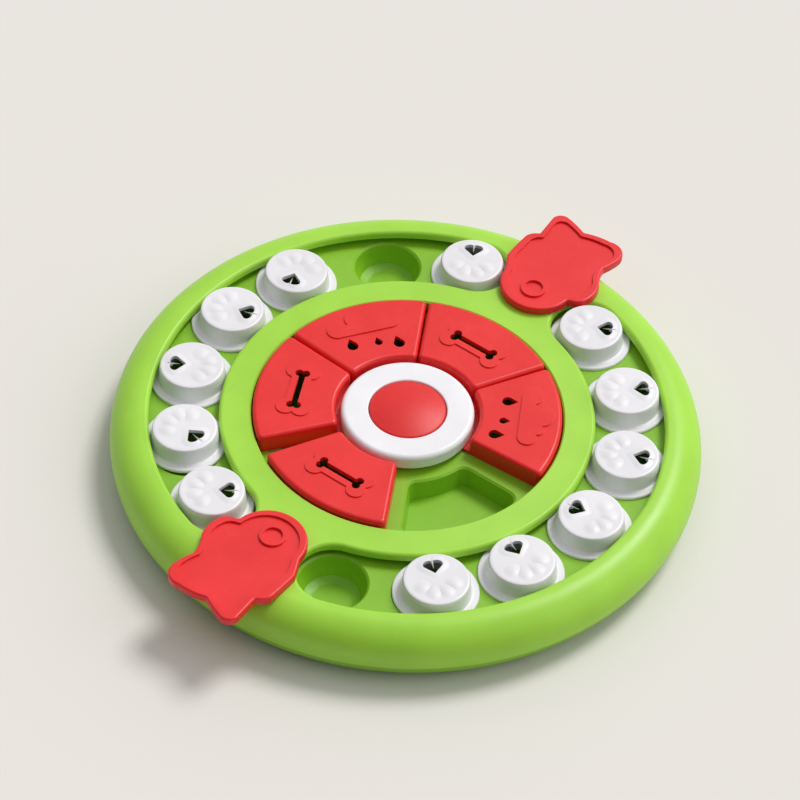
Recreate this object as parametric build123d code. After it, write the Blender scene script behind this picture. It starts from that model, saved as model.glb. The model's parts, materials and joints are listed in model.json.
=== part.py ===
from build123d import *
from math import acos, asin, cos, degrees, hypot, radians, sin, sqrt
import os

# A round puzzle feeder for dogs. Treats lie in bowls and pockets moulded into a tray. Twelve cups slide
# over the bowls in two arc channels, five sector lids turn round the hub over the pockets, two fish
# shaped lids swing over the ends of the channels, and the button in the hub presses a squeaker.
# The tray's floor is cut into one tile for each bowl and pocket, and the cover into six sectors, all
# standing face to face.
# Millimetres and degrees. The origin is on the central axis at the floor, and +Y runs through a fish.

SOFTNESS = 0.3  # how near a corner's middle bevel point stays to it, as a share of the corner's size

# Case: the tray below and the cover above meet at a seam in the rounded rim
OUTER_RADIUS = 170.0
RIM_ROUND = 18.5
FOOT_CUT = 1.1  # how far above the round's lowest point its flat foot is
BASE_LEVEL = 1.0  # underside of the tray
SEAM_DROP = 3.8  # from the widest point down to the seam
WALL = 2.4
TONGUE_RISE = 1.8
TONGUE_WALL = 1.1
TONGUE_CLEARANCE = 0.15
DECK_EDGE = 1.3  # how far the floor runs past the skirt that carries it
RIB_WALL = 2.0
RIB_COUNT = 6
RIB_DEPTH = 7.8

# Bowls and the two arc channels over them
CHANNELS = {"right": 0.0, "left": 180.0}  # the angle of each channel's middle
CHANNEL_DEPTH = 8.8  # from the cover's flat top down to the floor that cups and lids slide on
PLACE_COUNT = 7
PLACE_PITCH = 24.0
PLACE_GAP = 4.9  # between the brims of two neighbouring cups
SLOT_WIDTH = 40.0
SLOT_ROUNDING = 2.4
RIM_SHELF = 3.8  # flat width between the rim's round and a slot
LIP_WALL = 2.2
LIP_DROP = 4.7
BOWL_MARGIN = 0.6  # how much smaller than half a slot a bowl's radius is
BOWL_LIP = 1.2
BOWL_DEPTH = 15.0
BOWL_FLOOR_RADIUS = 10.5
BOWL_SIDE_LEAN = 1.2
BOWL_WALL = 2.0
GUIDE_WALL = 2.0
GUIDE_CLEARANCE = 0.5  # from a cup's brim to the channel's side walls

# Raised ring between the lids and the channels
RING_WIDTH = 18.3
RING_SLOPE = 14.1
RING_RISE = 0.6
RING_EDGE = 0.9

# Sliding cups
CUP_RISE = 3.7  # above the cover's flat top
CUP_CLEARANCE = 0.7  # from a cup's neck to the slot's side
CUP_LEAN = 0.6
CUP_EDGE = 1.8
CUP_WALL = 2.0
CUP_FLARE = 2.0
BRIM_THICKNESS = 2.0
BRIM_EDGE = 0.6
HEART_OFFSET = 8.0
HEART_LENGTH = 9.0
HEART_LOBE = 2.5
HEART_SPREAD = 2.3

# Sector lids
LID_COUNT = 6  # places for a lid round the hub, one of them left free
LID_ANGLE = 57.0
LID_GAP = 0.9  # from a lid to the ring
LID_RISE = 2.7  # above the ring
LID_EDGE = 2.4
LID_CORNER = 3.2
LID_WALL = 2.2
FLANGE_THICKNESS = 1.8
FLANGE_REACH = 3.7  # how far the outer flange runs under the ring
FLANGE_CLEARANCE = 0.6
FLANGE_LIFT = 1.4  # from a flange up to the ring's skirt
FLANGE_TRIM = 1.0  # how much narrower than its lid a flange is, in degrees
BADGE_RISE = 0.8
BONE_INSET = 24.5  # from a lid's outer edge to the bone's middle
BONE_LENGTH = 40.0
BONE_WIDTH = 20.0
BONE_WAIST = 11.5
BONE_LOBE = 5.6
SLIT_LENGTH = 30.0
SLIT_WIDTH = 8.6
SLIT_WAIST = 3.6
SLIT_LOBE = 2.4
CLOUD_PUFFS = ((17.9, 16.9, 6.0), (12.5, 2.2, 7.8), (13.9, -8.7, 3.9), (19.6, -15.1, 5.6))  # inset, y, radius
# Each drop's distance in from the lid's outer edge, its angle, radius and reach of its tip
DROPS = ((30.6, 12.3, 3.25, 6.0), (33.7, -3.2, 2.25, 4.2), (36.2, -15.7, 3.25, 6.0))

# Pockets under the sector lids
POCKET_OUTER_MARGIN = 4.5  # from a lid's outer edge to the pocket below it
POCKET_INNER_MARGIN = 3.7
POCKET_RIDGE = 12.4  # width of the ridge between two pockets
POCKET_DEPTH = 13.4
POCKET_CORNER = 6.0
POCKET_DRAFT = 7.0
POCKET_LIP = 1.0

# Hub cap, button and squeaker
CAP_RADIUS = 38.2
CAP_GAP = 3.1  # from the cap to a lid
CAP_DROP = 0.2  # below the lids' tops
CAP_EDGE = 3.0
CAP_LIFT = 1.3  # from a flange up to the cap's skirt
CAP_RING = 15.7  # width of the cap's top
CAP_HOLE_EDGE = 1.0
CAP_GUIDE_DROP = 7.9
BUTTON_CLEARANCE = 0.3
BUTTON_DROP = 0.1  # from the cap's top down to the button's shoulder
BUTTON_DOME = 2.7
BUTTON_EDGE = 1.4
BUTTON_WALL = 2.2
BUTTON_FLANGE = 2.1
BUTTON_FLANGE_THICKNESS = 1.6
BUTTON_TRAVEL = 3.5
BUTTON_STUD_RADIUS = 6.0
BUTTON_STUD = 1.7
HUB_FIT = 0.2
HUB_DROP = 9.0
HUB_CLEARANCE = 0.7
CHAMBER_GAP = 1.3  # from the button's flange to the chamber's wall
CHAMBER_FLOOR = 12.4
CHAMBER_MARGIN = 0.7  # left under the button's flange at the end of its travel
BULB_GAP = 3.0
BULB_FOLD = 3.4
BULB_FOLD_COUNT = 3
BULB_WALL = 1.3
BULB_FOOT = 1.5
REED_RADIUS = 4.0
REED_COLLAR_RADIUS = 6.0
REED_COLLAR = 1.6
REED_STEM_DROP = 1.5
REED_HOLE_RADIUS = 1.2

# Fish lids
FISH_PIVOT_INSET = 3.4  # from the channels' middle line in to a fish's pivot
FISH_PLACES = (("a", 90.0, 91.2), ("b", 270.0, 267.2))  # name, angle of the pivot, heading of the tail
FISH_LIFT = 0.3
FISH_THICKNESS = 4.8
FISH_EDGE = 1.3
FISH_BEND = 2.0
FISH_MIDDLE = (22.4, -1.9)
FISH_HALF_LENGTH = 40.0
FISH_HALF_WIDTH = 30.1
FISH_MARGIN = 4.6
FISH_DISH = 1.4
EYE_RING_RADIUS = 7.7
EYE_RADIUS = 5.5
EYE_DEPTH = 1.6
FISH_SHAFT_RADIUS = 4.0
SHAFT_CLEARANCE = 0.08
BRIDGE_BOSS = 1.0
WASHER_RADIUS = 6.6
WASHER_THICKNESS = 1.0
END_PLAY = 0.2
# The fish's outline with its eye at the origin and its tail towards +X: each corner of the outline,
# and the point that the bend from it to the next corner passes through
FISH_BENDS = (
    ((3.5, -22.0), (-17.6, -0.3)),
    ((3.0, 22.3), (8.2, 25.2)),
    ((14.0, 28.2), (24.0, 28.6)),
    ((34.0, 28.4), (37.9, 26.3)),
    ((40.5, 22.7), (48.5, 23.4)),
    ((57.0, 24.1), (61.4, 21.4)),
    ((62.3, 16.0), (60.3, 9.3)),
    ((57.3, 2.0), (59.7, -6.0)),
    ((60.5, -15.0), (58.2, -24.9)),
    ((51.5, -27.7), (45.5, -26.7)),
    ((38.5, -24.4), (31.3, -26.3)),
    ((25.0, -30.1), (16.5, -32.0)),
    ((8.0, -30.0), (4.9, -26.6)),
)

# Screws and pads
SCREW_RADIUS = 1.4
SCREW_CLEARANCE = 0.3
THREAD_ALLOWANCE = 0.04
SCREW_HEAD_RADIUS = 2.9
SCREW_HEAD = 2.0
BOSS_RADIUS = 3.4
BOSS_GAP = 0.2
CASE_SCREW_COUNT = 6
CASE_SCREW_OFFSET = 9.5  # outwards from the centre of the rim's round
CASE_SCREW_DEPTH = 7.0  # from the underside up to the head's seat
CASE_SCREW_LENGTH = 12.0
CAP_SCREW_COUNT = 3
CAP_SCREW_LENGTH = 11.0
FISH_SCREW_LENGTH = 7.0
PAD_COUNT = 6
PAD_RADIUS = 3.0
PAD_RECESS = 0.6

# Where the cups and lids stand, each cup with the heading of its heart
CUPS = {
    "left": ((109.2, 121.0), (157.8, -70.8), (180.2, 17.2), (203.3, 215.2), (225.5, -11.8), (248.0, 34.2)),
    "right": ((313.8, 139.2), (336.3, 156.2), (359.8, 191.2), (22.8, 20.2), (45.4, 42.2), (69.6, 27.2)),
}
BONE_LIDS = (90.0, 205.65, 270.2)
CLOUD_LIDS = (147.85, 32.2)

# Worked out from the sizes above: heights
RIM_LEVEL = BASE_LEVEL + RIM_ROUND - FOOT_CUT  # of the widest point
RIM_TOP = RIM_LEVEL + RIM_ROUND
SEAM_LEVEL = RIM_LEVEL - SEAM_DROP
PLATE_UNDERSIDE = RIM_TOP - WALL
DECK_LEVEL = RIM_TOP - CHANNEL_DEPTH
DECK_UNDERSIDE = DECK_LEVEL - WALL
BRIM_TOP = DECK_LEVEL + BRIM_THICKNESS
FLANGE_TOP = DECK_LEVEL + FLANGE_THICKNESS
RING_TOP = RIM_TOP + RING_RISE
RING_SKIRT_LEVEL = FLANGE_TOP + FLANGE_LIFT
CUP_TOP_LEVEL = RIM_TOP + CUP_RISE
LID_TOP_LEVEL = RING_TOP + LID_RISE
CAP_TOP_LEVEL = LID_TOP_LEVEL - CAP_DROP
HUB_TOP_LEVEL = CAP_TOP_LEVEL - HUB_DROP
BUTTON_SHOULDER_LEVEL = CAP_TOP_LEVEL - BUTTON_DROP
BUTTON_TOP_LEVEL = BUTTON_SHOULDER_LEVEL + BUTTON_DOME
BUTTON_CEILING = BUTTON_SHOULDER_LEVEL - BUTTON_WALL
BUTTON_FLANGE_TOP = CAP_TOP_LEVEL - CAP_GUIDE_DROP - BUTTON_CLEARANCE
BUTTON_FLANGE_LOW = BUTTON_FLANGE_TOP - BUTTON_FLANGE_THICKNESS
CHAMBER_WALL_TOP = BUTTON_FLANGE_LOW - BUTTON_TRAVEL - CHAMBER_MARGIN
BULB_TOP_LEVEL = BUTTON_CEILING - BUTTON_STUD
FISH_UNDERSIDE = RIM_TOP + FISH_LIFT
FISH_TOP = FISH_UNDERSIDE + FISH_THICKNESS
SHAFT_END = PLATE_UNDERSIDE - BRIDGE_BOSS - END_PLAY
CASE_SCREW_SEAT = BASE_LEVEL + CASE_SCREW_DEPTH

# Worked out from the sizes above: distances from the central axis and radii
RIM_CENTRE = OUTER_RADIUS - RIM_ROUND
RIM_INNER_ROUND = RIM_ROUND - WALL
CHANNEL_RADIUS = RIM_CENTRE - RIM_SHELF - SLOT_WIDTH / 2
SLOT_SPAN = PLACE_PITCH * (PLACE_COUNT - 1)
BRIM_RADIUS = CHANNEL_RADIUS * sin(radians(PLACE_PITCH / 2)) - PLACE_GAP / 2
BOWL_RADIUS = SLOT_WIDTH / 2 - BOWL_MARGIN
CUP_NECK_RADIUS = SLOT_WIDTH / 2 - CUP_CLEARANCE
CUP_TOP_RADIUS = CUP_NECK_RADIUS - CUP_LEAN
GUIDE_OUTER = CHANNEL_RADIUS + BRIM_RADIUS + GUIDE_CLEARANCE
GUIDE_INNER = CHANNEL_RADIUS - BRIM_RADIUS - GUIDE_CLEARANCE
DECK_RADIUS = GUIDE_OUTER + GUIDE_WALL
TILE_RADIUS = GUIDE_INNER - GUIDE_WALL  # where the bowls' tiles meet the pockets' tiles
SKIRT_RADIUS = DECK_RADIUS - DECK_EDGE
RING_INNER_RADIUS = CHANNEL_RADIUS - SLOT_WIDTH / 2 - RING_WIDTH
RING_CREST_RADIUS = RING_INNER_RADIUS + RING_SLOPE
LID_OUTER_RADIUS = RING_INNER_RADIUS - LID_GAP
LID_INNER_RADIUS = CAP_RADIUS + CAP_GAP
LID_FLANGE_RADIUS = LID_OUTER_RADIUS + FLANGE_REACH
LID_TRACK_RADIUS = LID_FLANGE_RADIUS + FLANGE_CLEARANCE
HUB_RADIUS = CAP_RADIUS - WALL - HUB_FIT
LID_FLANGE_INNER = HUB_RADIUS + HUB_CLEARANCE
POCKET_OUTER_RADIUS = LID_OUTER_RADIUS - POCKET_OUTER_MARGIN
POCKET_INNER_RADIUS = LID_INNER_RADIUS + POCKET_INNER_MARGIN
CAP_HOLE_RADIUS = CAP_RADIUS - CAP_RING
BUTTON_RADIUS = CAP_HOLE_RADIUS - BUTTON_CLEARANCE
CHAMBER_RADIUS = BUTTON_RADIUS + BUTTON_FLANGE + CHAMBER_GAP
BULB_RADIUS = BUTTON_RADIUS - BUTTON_WALL - BULB_GAP
BULB_WAIST = BULB_RADIUS - BULB_FOLD
CAP_SCREW_ROOM = HUB_RADIUS - WALL - CHAMBER_RADIUS - RIB_WALL
CAP_SCREW_PLACE = CHAMBER_RADIUS + RIB_WALL + CAP_SCREW_ROOM / 2
CAP_BOSS_RADIUS = CAP_SCREW_ROOM / 2 - BOSS_GAP
FISH_PIVOT_RADIUS = CHANNEL_RADIUS - FISH_PIVOT_INSET
CASE_SCREW_PLACE = RIM_CENTRE + CASE_SCREW_OFFSET
LID_PITCH = 360 / LID_COUNT
FIRST_POCKET_ANGLE = LID_PITCH / 2


def polar(radius, angle, level=0.0):
    """A place given by its distance from the axis, its angle and its height."""
    return Pos(radius * cos(radians(angle)), radius * sin(radians(angle)), level)


def around(count, first=0.0):
    """Evenly spaced angles."""
    return [first + i * 360 / count for i in range(count)]


def band(inner, outer, low, high):
    """The rectangular section of a ring, in the plane of radius and height."""
    return Pos((inner + outer) / 2, (low + high) / 2) * Rectangle(outer - inner, high - low)


def turned(section):
    """A section in the plane of radius and height, turned round the upright axis."""
    return revolve(Plane.XZ * section, Axis.Z)


def raised(sketch, low, high):
    """A flat outline as a solid between two heights."""
    return Pos(0, 0, low) * extrude(sketch, high - low)


def disc(radius, low, high):
    """An upright cylinder between two heights."""
    return raised(Circle(radius), low, high)


def sector(inner, outer, angle, inset=0.0):
    """A ring's sector about +X, seen from above, with its sides moved in by the inset."""
    half = radians(angle / 2)
    apex = inset / sin(half)
    far = apex + 2 * outer * cos(half)
    spread = 2 * outer * sin(half)
    wedge = make_face(Polyline((apex, 0), (far, spread), (far, -spread), (apex, 0)))
    return (Circle(outer) - Circle(inner)) & wedge


def soft_corner(x, y, size, side=1):
    """The points of a corner cut in two bevels: the corner lies outwards of them, and above them or below."""
    near = size * SOFTNESS
    return [(x - size, y), (x - near, y - side * near), (x, y - side * size)]


def rim_reach(radius, level):
    """How far from the axis the rim's round of a given radius is at a given height."""
    return RIM_CENTRE + radius * cos(radians(rim_angle(radius, level)))


def rim_angle(radius, level):
    """The angle above the widest point at which the rim's round of a given radius has a given height."""
    return degrees(asin((level - RIM_LEVEL) / radius))


def rim_arc(radius, first, last):
    """The stretch of the rim's round between two angles above its widest point."""
    return CenterArc((RIM_CENTRE, RIM_LEVEL), radius, first, last - first)


def places_from(middle):
    """The angles of one channel's bowls."""
    return [middle - SLOT_SPAN / 2 + PLACE_PITCH * i for i in range(PLACE_COUNT)]


def arc_slot(middle, width):
    """The rounded slot along one channel."""
    line = CenterArc((0, 0), CHANNEL_RADIUS, middle - SLOT_SPAN / 2, SLOT_SPAN)
    return SlotArc(line, width)


def floor_tile(inner, outer, first, last):
    """The sector of the tray's floor between two radii and two angles."""
    tile = raised(sector(inner, outer, last - first), DECK_UNDERSIDE, DECK_LEVEL)
    return Rot(0, 0, (first + last) / 2) * tile


# Tray


def bowl_hollow():
    """The space inside one bowl, with its bevelled lip."""
    floor = DECK_LEVEL - BOWL_DEPTH
    side = BOWL_RADIUS - BOWL_SIDE_LEAN
    bend = side - BOWL_FLOOR_RADIUS
    mouth = BOWL_RADIUS + BOWL_LIP
    above = DECK_LEVEL + BOWL_LIP
    knee = soft_corner(side, floor, bend, -1)
    wall = [(BOWL_RADIUS, DECK_LEVEL - BOWL_LIP), (mouth, DECK_LEVEL), (mouth, above), (0, above)]
    return turned(make_face(Polyline((0, floor), *knee, *wall, (0, floor))))


def bowl_body():
    """The outside of one bowl below the deck."""
    low = DECK_LEVEL - BOWL_DEPTH - BOWL_WALL
    high = DECK_UNDERSIDE + WALL / 2
    bottom = BOWL_FLOOR_RADIUS + BOWL_WALL
    top = BOWL_RADIUS + BOWL_WALL
    knee = low + top - bottom
    return turned(make_face(Polyline((0, low), (bottom, low), (top, knee), (top, high), (0, high), (0, low))))


def pocket_outline(inset):
    """A pocket seen from above, moved in all round by the inset."""
    inner = POCKET_INNER_RADIUS + inset
    outer = POCKET_OUTER_RADIUS - inset
    shape = sector(inner, outer, LID_PITCH, POCKET_RIDGE / 2 + inset)
    return fillet(shape.vertices(), POCKET_CORNER - inset)


def pocket_hollow():
    """The space inside one pocket, narrowing downwards from a bevelled lip."""
    well = extrude(pocket_outline(0), -POCKET_DEPTH, taper=POCKET_DRAFT)
    mouth = extrude(pocket_outline(-POCKET_LIP), -POCKET_LIP, taper=45)
    return Pos(0, 0, DECK_LEVEL) * (well + mouth)


def pocket_body():
    """The outside of one pocket below the deck."""
    top = DECK_UNDERSIDE + WALL / 2
    depth = top - (DECK_LEVEL - POCKET_DEPTH - WALL)
    return Pos(0, 0, top) * extrude(pocket_outline(-WALL), -depth, taper=POCKET_DRAFT)


def treat_bowl(place, first, last):
    """One bowl with its tile of the channel's floor."""
    tile = floor_tile(TILE_RADIUS, DECK_RADIUS, first, last)
    centre = polar(CHANNEL_RADIUS, place)
    return (tile + centre * bowl_body()) - centre * bowl_hollow()


def treat_pocket():
    """One pocket about +X with its tile of the floor under the lids."""
    half = LID_PITCH / 2
    tile = floor_tile(HUB_RADIUS, TILE_RADIUS, -half, half)
    return (tile + pocket_body()) - pocket_hollow()


def trough(radius, floor, inner):
    """The section inside a round of the rim, from a floor up to the seam."""
    side = rim_arc(radius, rim_angle(radius, floor), rim_angle(radius, SEAM_LEVEL))
    return make_face([side, Polyline(side @ 1, (inner, SEAM_LEVEL), (inner, floor), side @ 0)])


def tongue_section():
    """The lip on the tray that locates the cover."""
    inner = rim_reach(RIM_INNER_ROUND, SEAM_LEVEL)
    return band(inner, inner + TONGUE_WALL, SEAM_LEVEL - TONGUE_RISE, SEAM_LEVEL + TONGUE_RISE)


def base_tray():
    """The tray's outer trough, its skirt, and the seats of the screws that hold the cover."""
    skirt_inner = SKIRT_RADIUS - WALL
    block = trough(RIM_ROUND, BASE_LEVEL, skirt_inner)
    space = trough(RIM_INNER_ROUND, BASE_LEVEL + WALL, SKIRT_RADIUS)
    skirt = band(skirt_inner, SKIRT_RADIUS, BASE_LEVEL, DECK_UNDERSIDE)
    tray = turned((block - space) + tongue_section() + skirt)
    seat_top = CASE_SCREW_SEAT + WALL
    seat = disc(SCREW_HEAD_RADIUS + WALL, BASE_LEVEL, seat_top)
    head_hole = disc(SCREW_HEAD_RADIUS + SCREW_CLEARANCE, 0, CASE_SCREW_SEAT)
    shank_hole = disc(SCREW_RADIUS + SCREW_CLEARANCE, 0, seat_top + WALL)
    places = [polar(CASE_SCREW_PLACE, angle) for angle in around(CASE_SCREW_COUNT, FIRST_POCKET_ANGLE)]
    solid_trough = turned(block)
    tray += [solid_trough & (place * seat) for place in places]
    recess = disc(PAD_RADIUS, 0, BASE_LEVEL + PAD_RECESS)
    spaces = [place * hole for place in places for hole in (head_hole, shank_hole)]
    spaces += [polar(pad_place(), angle) * recess for angle in around(PAD_COUNT)]
    return tray - spaces


def pad_place():
    """How far out the pads are: in the middle of the tray's flat foot."""
    return (SKIRT_RADIUS - WALL + rim_reach(RIM_ROUND, BASE_LEVEL)) / 2


def tray_hub():
    """The well in the middle that holds the squeaker and carries the lids, with ribs under the floor."""
    low = CHAMBER_FLOOR - WALL
    well = turned(
        band(HUB_RADIUS - WALL, HUB_RADIUS, low, HUB_TOP_LEVEL)
        + band(REED_RADIUS + THREAD_ALLOWANCE, HUB_RADIUS, low, CHAMBER_FLOOR)
        + band(CHAMBER_RADIUS, CHAMBER_RADIUS + RIB_WALL, low, CHAMBER_WALL_TOP)
    )
    bar = Pos(TILE_RADIUS / 2, 0) * Rectangle(TILE_RADIUS, RIB_WALL)
    outside = Circle(TILE_RADIUS) - Circle(HUB_RADIUS - WALL / 2)
    rib = raised(outside & bar, DECK_UNDERSIDE - RIB_DEPTH, DECK_UNDERSIDE)
    ribs = [Rot(0, 0, angle) * rib for angle in around(RIB_COUNT)]
    hole = disc(SCREW_RADIUS + SCREW_CLEARANCE, 0, CHAMBER_FLOOR + WALL)
    holes = [polar(CAP_SCREW_PLACE, angle) * hole for angle in around(CAP_SCREW_COUNT, FIRST_POCKET_ANGLE)]
    return (well + ribs) - holes


# Cover


def cover_shell_section():
    """The cover's outer skin: rim, flat top and ring."""
    rebate_top = SEAM_LEVEL + TONGUE_RISE + TONGUE_CLEARANCE
    rebate = rim_reach(RIM_INNER_ROUND, SEAM_LEVEL) + TONGUE_WALL + TONGUE_CLEARANCE
    outside = rim_arc(RIM_ROUND, rim_angle(RIM_ROUND, SEAM_LEVEL), 90)
    inside = rim_arc(RIM_INNER_ROUND, rim_angle(RIM_INNER_ROUND, rebate_top), 90)
    ring_edge = (RING_INNER_RADIUS, RING_TOP - RING_EDGE)
    ring_crest = (RING_INNER_RADIUS + RING_EDGE, RING_TOP)
    top = Polyline(outside @ 1, (RING_CREST_RADIUS, RIM_TOP), ring_crest, ring_edge)
    under = Polyline(
        ring_edge,
        (RING_INNER_RADIUS, RING_TOP - WALL),
        (RING_CREST_RADIUS, PLATE_UNDERSIDE),
        inside @ 1,
    )
    seam = Polyline(inside @ 0, (rebate, rebate_top), (rebate, SEAM_LEVEL), outside @ 0)
    return make_face([outside, top, under, inside, seam])


def top_cover():
    """The cover: rounded rim, ring, and the two bridges that carry the fish lids."""
    under_top = RIM_TOP - WALL / 2
    cover = turned(
        cover_shell_section()
        + band(RING_INNER_RADIUS, RING_INNER_RADIUS + LIP_WALL, RING_SKIRT_LEVEL, RING_TOP - WALL / 2)
        + band(LID_TRACK_RADIUS, LID_TRACK_RADIUS + GUIDE_WALL, DECK_LEVEL, under_top)
        + band(GUIDE_INNER - GUIDE_WALL, GUIDE_INNER, DECK_LEVEL, under_top)
        + band(GUIDE_OUTER, DECK_RADIUS, DECK_LEVEL, under_top)
    )
    for middle in CHANNELS.values():
        cover += raised(arc_slot(middle, SLOT_WIDTH + 2 * LIP_WALL), RIM_TOP - LIP_DROP, under_top)
        cover -= raised(arc_slot(middle, SLOT_WIDTH), DECK_LEVEL, RIM_TOP + WALL)
    cover = fillet(slot_edges(cover), SLOT_ROUNDING)
    boss_low = CASE_SCREW_SEAT + WALL
    boss_high = RIM_LEVEL + sqrt(RIM_INNER_ROUND**2 - CASE_SCREW_OFFSET**2)
    posts = []
    bores = []
    for angle in around(CASE_SCREW_COUNT, FIRST_POCKET_ANGLE):
        place = polar(CASE_SCREW_PLACE, angle)
        posts.append(place * disc(BOSS_RADIUS, boss_low, boss_high))
        bores.append(place * disc(SCREW_RADIUS + THREAD_ALLOWANCE, boss_low, boss_low + CASE_SCREW_LENGTH))
    for name, angle, heading in FISH_PLACES:
        place = polar(FISH_PIVOT_RADIUS, angle)
        posts.append(place * disc(EYE_RING_RADIUS, PLATE_UNDERSIDE - BRIDGE_BOSS, under_top))
        bores.append(place * disc(FISH_SHAFT_RADIUS + SHAFT_CLEARANCE, DECK_LEVEL, RIM_TOP + WALL))
    return (cover + posts) - bores


def cover_sector(cover, angle):
    """The sector of the cover about one angle."""
    outline = sector(RING_INNER_RADIUS - WALL, OUTER_RADIUS + WALL, LID_PITCH)
    return cover & (Rot(0, 0, angle) * raised(outline, BASE_LEVEL, LID_TOP_LEVEL))


def level_edges(solid, level):
    """The solid's edges at one height."""
    return solid.edges().filter_by_position(Axis.Z, level - 0.01, level + 0.01)


def slot_edges(cover):
    """The edges round both slots on the cover's flat top."""
    near = SLOT_WIDTH / 2 + 0.1
    edges = []
    for edge in level_edges(cover, RIM_TOP):
        middle = edge @ 0.5
        if abs(hypot(middle.X, middle.Y) - CHANNEL_RADIUS) < near:
            edges.append(edge)
    return edges


# Cups


def teardrop(radius, tip):
    """A drop seen from above: a circle at the origin drawn out to a tip on +X."""
    lean = acos(radius / tip)
    side = (radius * cos(lean), radius * sin(lean))
    back = (-radius, 0)
    other = (side[0], -side[1])
    return make_face([Polyline(other, (tip, 0), side), ThreePointArc(side, back, other)])


def heart():
    """A heart seen from above, with its tip towards -X."""
    lobe_x = HEART_LENGTH / 2 - HEART_LOBE
    reach = hypot(lobe_x + HEART_LENGTH / 2, HEART_SPREAD)
    lean = degrees(acos((lobe_x + HEART_LENGTH / 2) / reach))
    drop = teardrop(HEART_LOBE, reach)
    half = Pos(lobe_x, HEART_SPREAD) * Rot(0, 0, 180 + lean) * drop
    return half + mirror(half, Plane.XZ)


def slider_cup():
    """One cup on its own axis, with its heart hole towards +X."""
    ceiling = CUP_TOP_LEVEL - CUP_WALL
    flare = min(CUP_FLARE, (BRIM_RADIUS - BRIM_EDGE - CUP_NECK_RADIUS) / 2)
    near = flare * SOFTNESS
    inner_neck = (CUP_NECK_RADIUS - CUP_WALL, DECK_LEVEL)
    inner_top = (CUP_TOP_RADIUS - CUP_WALL, ceiling)
    section = make_face(
        Polyline(
            (0, CUP_TOP_LEVEL),
            *soft_corner(CUP_TOP_RADIUS, CUP_TOP_LEVEL, CUP_EDGE),
            (CUP_NECK_RADIUS, BRIM_TOP + flare),
            (CUP_NECK_RADIUS + near, BRIM_TOP + near),
            (CUP_NECK_RADIUS + flare, BRIM_TOP),
            (BRIM_RADIUS - BRIM_EDGE, BRIM_TOP),
            (BRIM_RADIUS, BRIM_TOP - BRIM_EDGE),
            (BRIM_RADIUS, DECK_LEVEL),
            inner_neck,
            inner_top,
            (0, ceiling),
            (0, CUP_TOP_LEVEL),
        )
    )
    hole = Pos(HEART_OFFSET, 0) * raised(heart(), DECK_LEVEL, CUP_TOP_LEVEL + CUP_WALL)
    return turned(section) - hole


# Lids


def bone(length, width, waist, lobe):
    """A bone seen from above, lying along Y."""
    across = width / 2 - lobe
    along = length / 2 - lobe
    ends = [Pos(x, y) * Circle(lobe) for x in (-across, across) for y in (-along, along)]
    return Rectangle(waist, 2 * along) + ends


def cloud():
    """A cloud seen from above, its flat base towards the hub and its puffs outwards."""
    puffs = [(LID_OUTER_RADIUS - inset, across, radius) for inset, across, radius in CLOUD_PUFFS]
    first = puffs[0]
    last = puffs[-1]
    middles = [(out, across) for out, across, radius in puffs]
    base = [(last[0] - last[2], last[1]), (first[0] - first[2], first[1])]
    body = make_face(Polyline(*middles, *base, middles[0]))
    return body + [Pos(out, across) * Circle(radius) for out, across, radius in puffs]


def lid_shell():
    """One sector lid about +X: a hollow block with a flange at its outer and inner foot."""
    outline = fillet(sector(LID_INNER_RADIUS, LID_OUTER_RADIUS, LID_ANGLE).vertices(), LID_CORNER)
    block = raised(outline, DECK_LEVEL, LID_TOP_LEVEL)
    block = fillet(level_edges(block, LID_TOP_LEVEL), LID_EDGE)
    inner = LID_INNER_RADIUS + LID_WALL
    outer = LID_OUTER_RADIUS - LID_WALL
    hollow = sector(inner, outer, LID_ANGLE, LID_WALL)
    reaches = ((outer, LID_FLANGE_RADIUS), (LID_FLANGE_INNER, inner))
    flanges = [sector(low, high, LID_ANGLE - FLANGE_TRIM) for low, high in reaches]
    lid = block - raised(hollow, DECK_LEVEL, LID_TOP_LEVEL - LID_WALL)
    return lid + [raised(flange, DECK_LEVEL, FLANGE_TOP) for flange in flanges]


def badge_block(outline):
    """A low raised shape on a lid's top."""
    return raised(outline, LID_TOP_LEVEL - LID_WALL / 2, LID_TOP_LEVEL + BADGE_RISE)


def bone_lid():
    """A sector lid with a raised bone and a bone shaped slit."""
    badge = badge_block(bone(BONE_LENGTH, BONE_WIDTH, BONE_WAIST, BONE_LOBE))
    slit = raised(bone(SLIT_LENGTH, SLIT_WIDTH, SLIT_WAIST, SLIT_LOBE), DECK_LEVEL, LID_TOP_LEVEL + LID_WALL)
    place = Pos(LID_OUTER_RADIUS - BONE_INSET, 0)
    return (lid_shell() + place * badge) - place * slit


def cloud_lid():
    """A sector lid with a raised cloud and three drops cut through below it."""
    lid = lid_shell() + badge_block(cloud())
    for inset, angle, radius, tip in DROPS:
        drop = raised(teardrop(radius, tip), DECK_LEVEL, LID_TOP_LEVEL + LID_WALL)
        lid -= polar(LID_OUTER_RADIUS - inset, angle) * drop
    return lid


# Hub


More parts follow.
